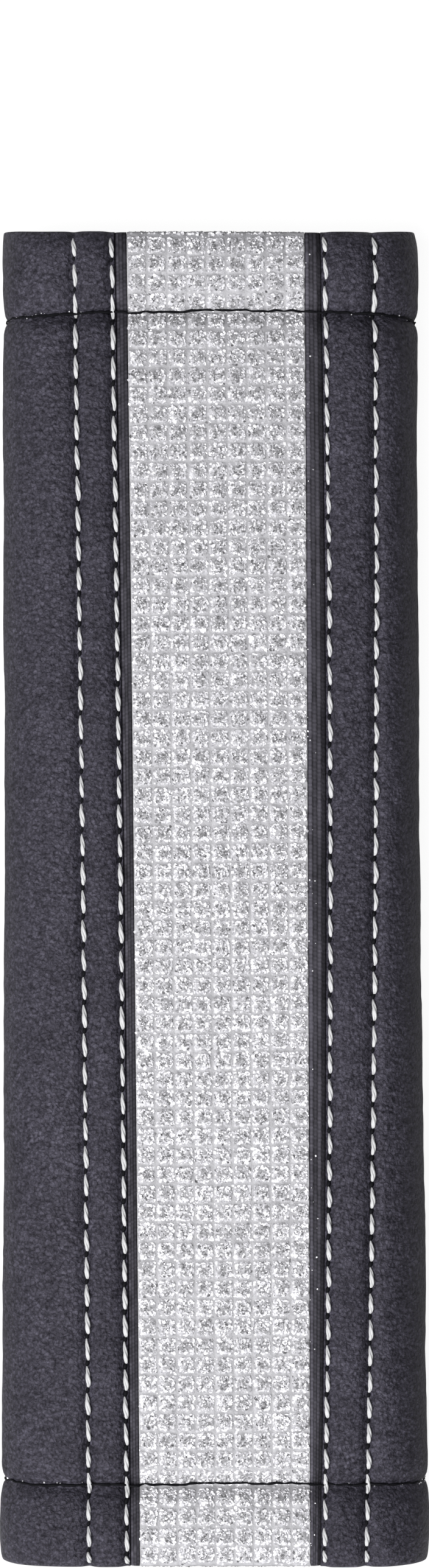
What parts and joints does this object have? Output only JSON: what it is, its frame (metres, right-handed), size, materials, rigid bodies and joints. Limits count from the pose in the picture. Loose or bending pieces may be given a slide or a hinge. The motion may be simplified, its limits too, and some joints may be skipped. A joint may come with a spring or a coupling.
{
  "type": "seat belt shoulder pad",
  "caption": "Soft padded sleeve that closes flat round a seat belt, with leatherette sides, a silver glitter strip and white topstitching",
  "frame": {"origin": "Under the middle of the pad, on the surface that it lies on, back down.", "axes": "+X across the pad to its right as seen from the front, +Y along it to its top end, +Z out of its front."},
  "size_m": [0.0726, 0.225, 0.0189],
  "materials": {
    "leatherette": "charcoal imitation leather with a fine pebble grain and creases",
    "glitter_cloth": "silver glitter under a fine grey net",
    "woven_tape": "black ribbed woven tape",
    "foam": "dark grey open-cell foam",
    "lining": "black woven lining cloth",
    "hook_tape": "black hook tape",
    "loop_tape": "black loop tape with a soft pile",
    "white_thread": "thick twisted white thread",
    "black_thread": "fine black thread"
  },
  "bodies": {
    "root": {"left_cover_panel": "leatherette", "right_cover_panel": "leatherette", "glitter_strip": "glitter_cloth", "left_trim_tape": "woven_tape", "right_trim_tape": "woven_tape", "foam_core": "foam", "inner_lining": "lining", "hook_strip": "hook_tape", "loop_strip": "loop_tape", "left_outer_stitching": "white_thread", "left_inner_stitching": "white_thread", "right_inner_stitching": "white_thread", "right_outer_stitching": "white_thread", "top_end_stitching": "black_thread", "bottom_end_stitching": "black_thread", "hook_strip_stitching_left": "black_thread", "hook_strip_stitching_right": "black_thread", "loop_strip_stitching_left": "black_thread", "loop_strip_stitching_right": "black_thread"}
  },
  "joints": []
}
